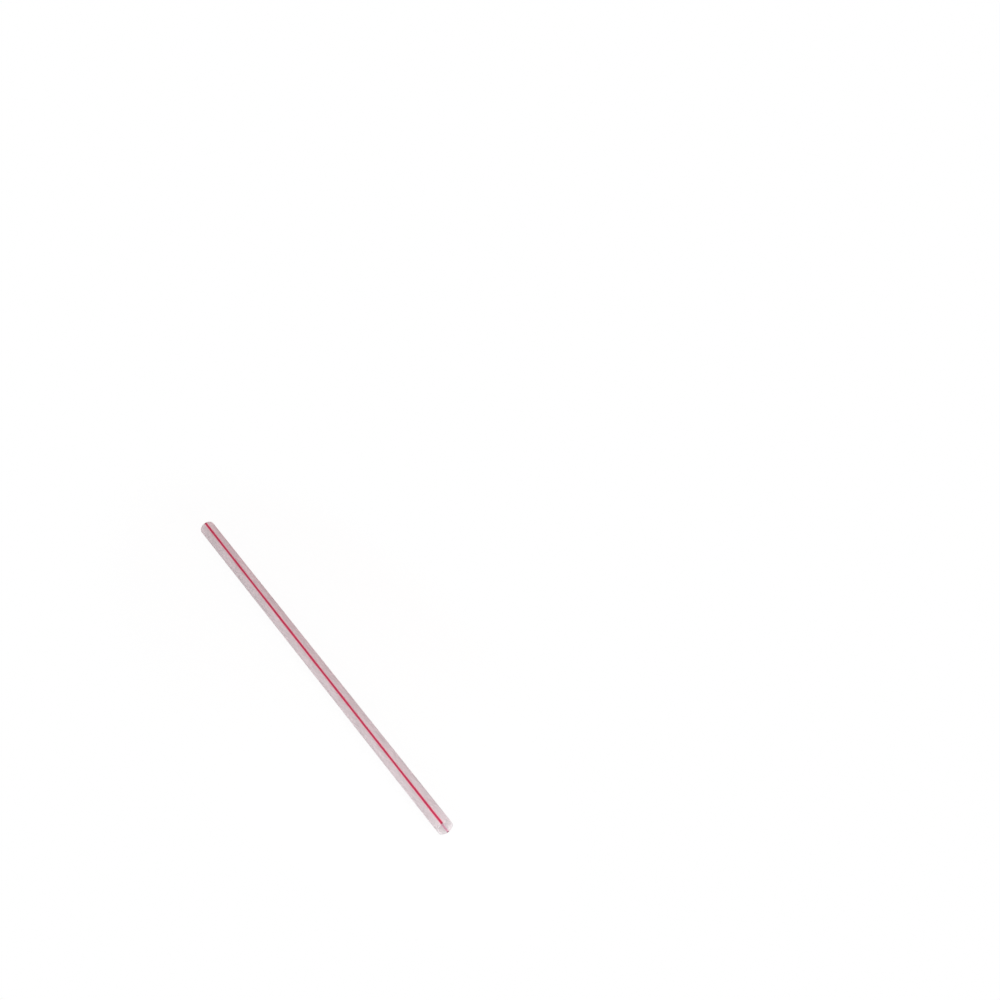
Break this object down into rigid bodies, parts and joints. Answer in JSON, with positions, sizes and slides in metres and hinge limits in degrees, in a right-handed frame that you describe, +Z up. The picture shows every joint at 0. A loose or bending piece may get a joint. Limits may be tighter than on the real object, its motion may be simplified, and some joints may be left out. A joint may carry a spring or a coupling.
{
  "type": "drinking straw",
  "caption": "Thin straight plastic tube with square-cut open ends and narrow lengthwise stripes, for sipping a drink from a cup.",
  "frame": {"origin": "under the middle of the straw's length, on the surface that it lies on", "axes": "+X along the straw towards the mouth that the picture shows, +Z up, -Y towards the viewer's side"},
  "size_m": [0.197, 0.006, 0.006],
  "materials": {
    "milky_plastic": "milky translucent polypropylene with a satin skin, and two crimson stripes of the same plastic melted into the wall"
  },
  "bodies": {
    "root": {"straw": "milky_plastic"}
  },
  "joints": []
}
